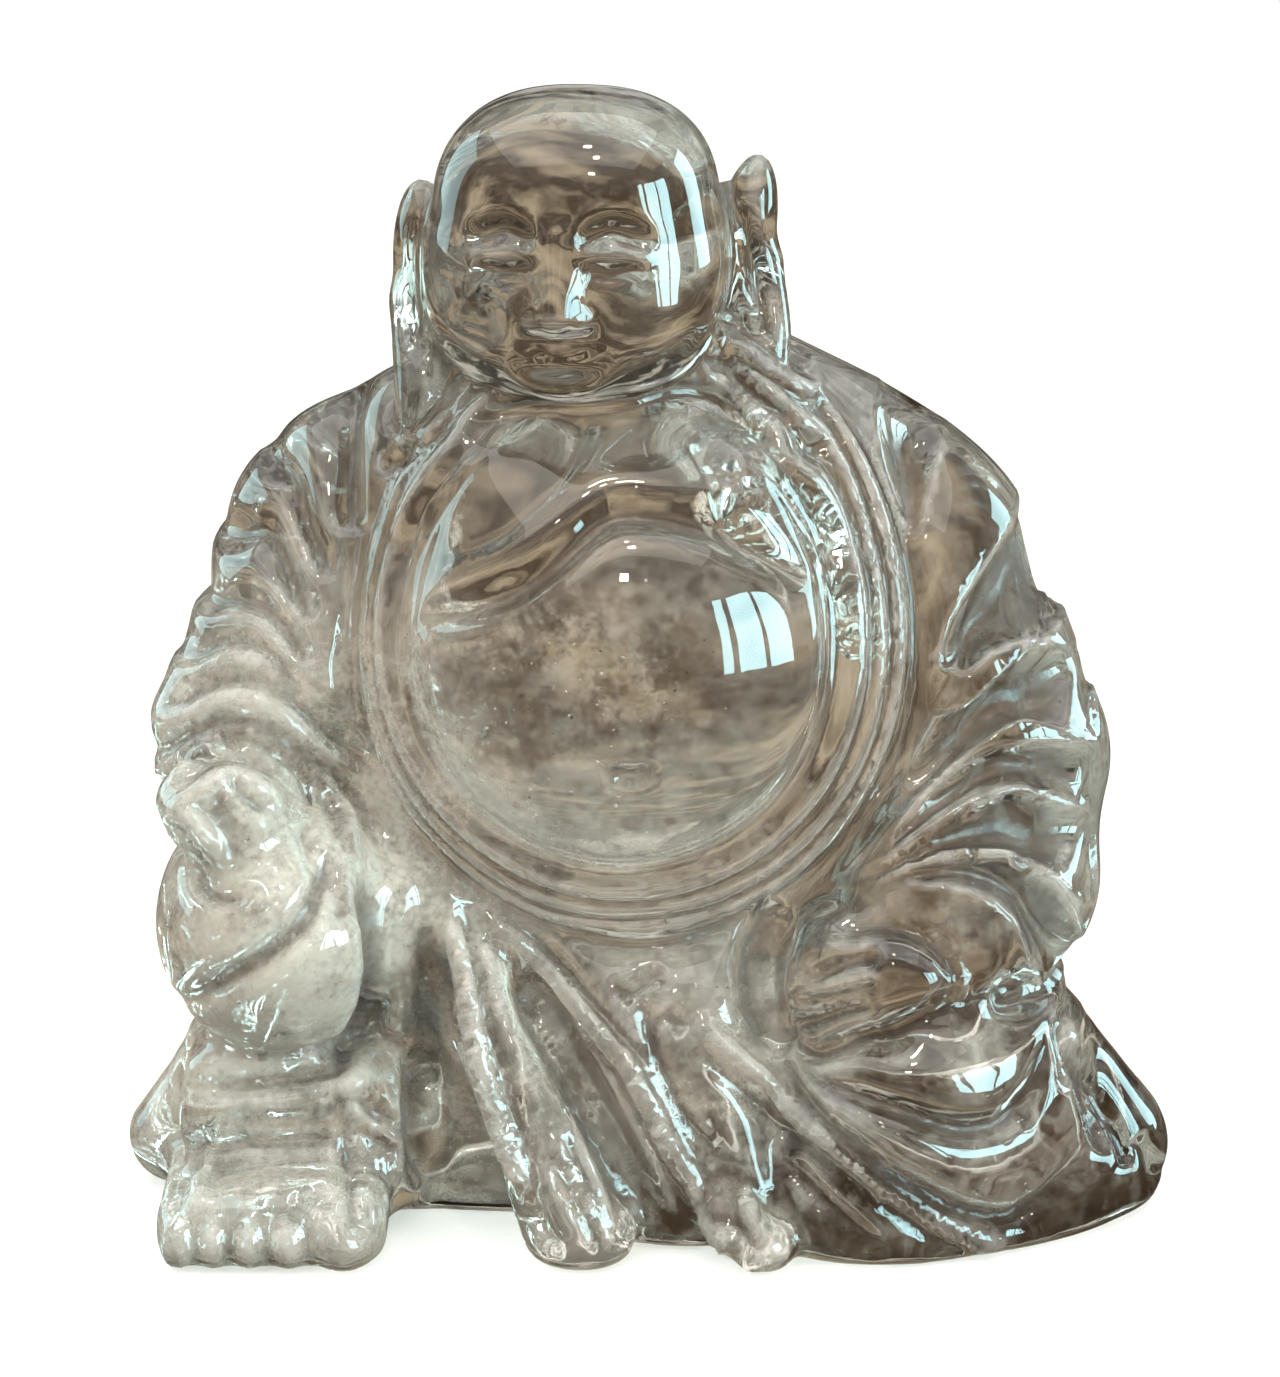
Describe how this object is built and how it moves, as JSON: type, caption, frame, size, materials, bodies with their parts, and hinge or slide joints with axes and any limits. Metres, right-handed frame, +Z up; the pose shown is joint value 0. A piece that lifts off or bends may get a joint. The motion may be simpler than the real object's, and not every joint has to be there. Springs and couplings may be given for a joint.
{
  "type": "crystal buddha carving",
  "caption": "Small carved rock crystal figure of a seated laughing monk with a round belly, one knee raised, resting on a flat underside.",
  "frame": {"origin": "middle of the bounding box at the flat underside", "axes": "+Z up, the figure faces -Y, +X to the viewer's right"},
  "size_m": [0.0524, 0.0286, 0.0559],
  "materials": {
    "rock_crystal": "polished rock crystal, faintly smoky, with healed fractures and veils inside"
  },
  "bodies": {
    "root": {"crystal_buddha": "rock_crystal"}
  },
  "joints": []
}
